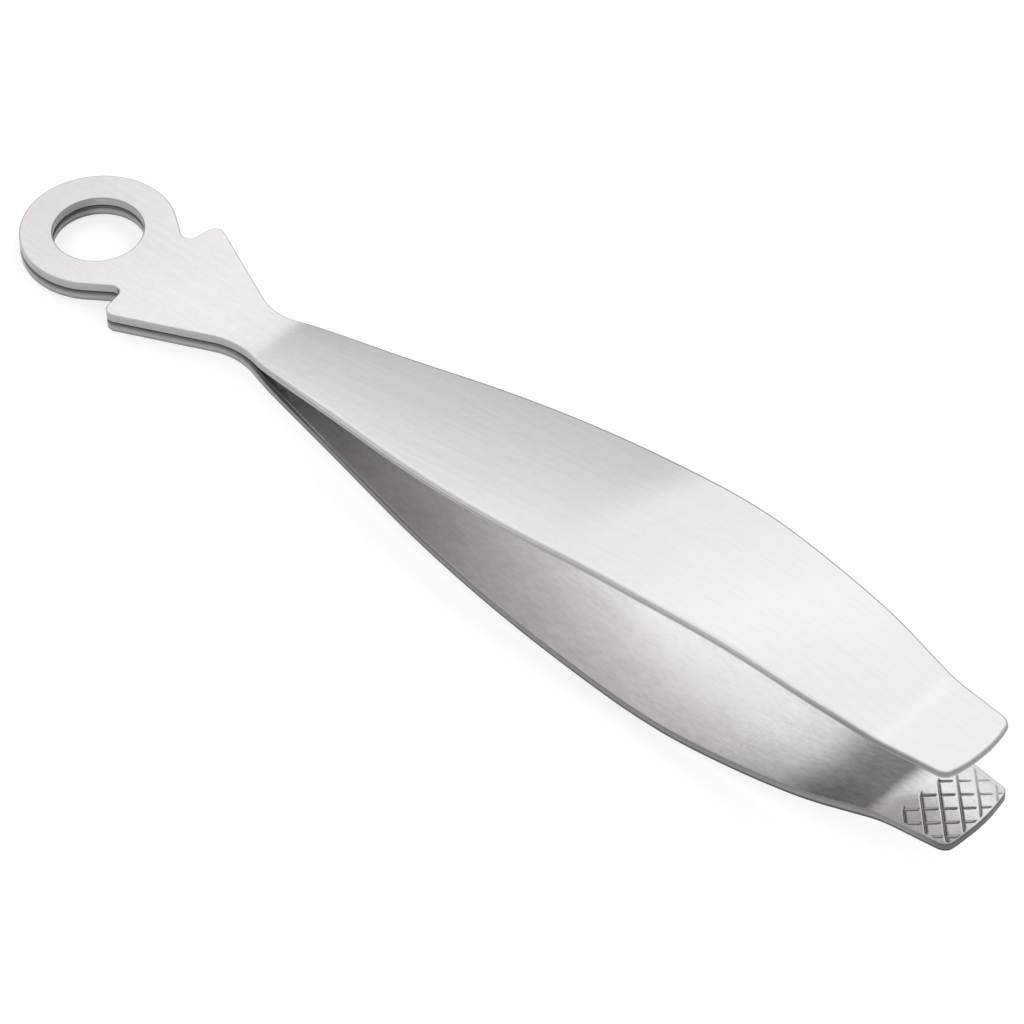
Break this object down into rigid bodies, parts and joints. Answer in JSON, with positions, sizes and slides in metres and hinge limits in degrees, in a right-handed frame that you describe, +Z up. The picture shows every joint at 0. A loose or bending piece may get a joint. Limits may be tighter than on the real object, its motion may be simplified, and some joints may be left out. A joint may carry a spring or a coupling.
{
  "type": "fish bone tweezers",
  "caption": "Sprung tweezers for pulling fish bones: two bowed sheet-steel arms with cross-cut gripping pads, joined at a fish-tail shoulder with a hanging ring.",
  "frame": {"origin": "on the table that the tool lies on, under the middle of its outer box", "axes": "+X along the tool towards the tips, +Y across the leaves, +Z up from the table; the plane between the leaves rises 4.99 degrees towards the tips"},
  "size_m": [0.1492, 0.02, 0.022],
  "materials": {
    "leaf_steel": "satin stainless steel with a fine grain along the tool and tumbled edges",
    "weld_steel": "fused stainless steel, hidden between the leaves"
  },
  "bodies": {
    "tail": {"upper_tail_plate": "leaf_steel", "lower_tail_plate": "leaf_steel", "spot_welds": "weld_steel"},
    "upper_blade": {"upper_arm": "leaf_steel"},
    "lower_blade": {"lower_arm": "leaf_steel"}
  },
  "joints": [
    {"name": "upper_arm_flex", "type": "hinge", "parent": "tail", "child": "upper_blade", "pos_m": [-0.0375, 0, 0.00538], "axis": [0, 1, 0], "range_deg": [0, 2.61], "stiffness_Nm_per_rad": 25},
    {"name": "lower_arm_flex", "type": "hinge", "parent": "tail", "child": "lower_blade", "pos_m": [-0.03737, 0, 0.00393], "axis": [0, -1, 0], "range_deg": [0, 2.61], "stiffness_Nm_per_rad": 25}
  ],
  "couplings": [
    {"joint": "lower_arm_flex", "follows": "upper_arm_flex", "ratio": 1}
  ]
}
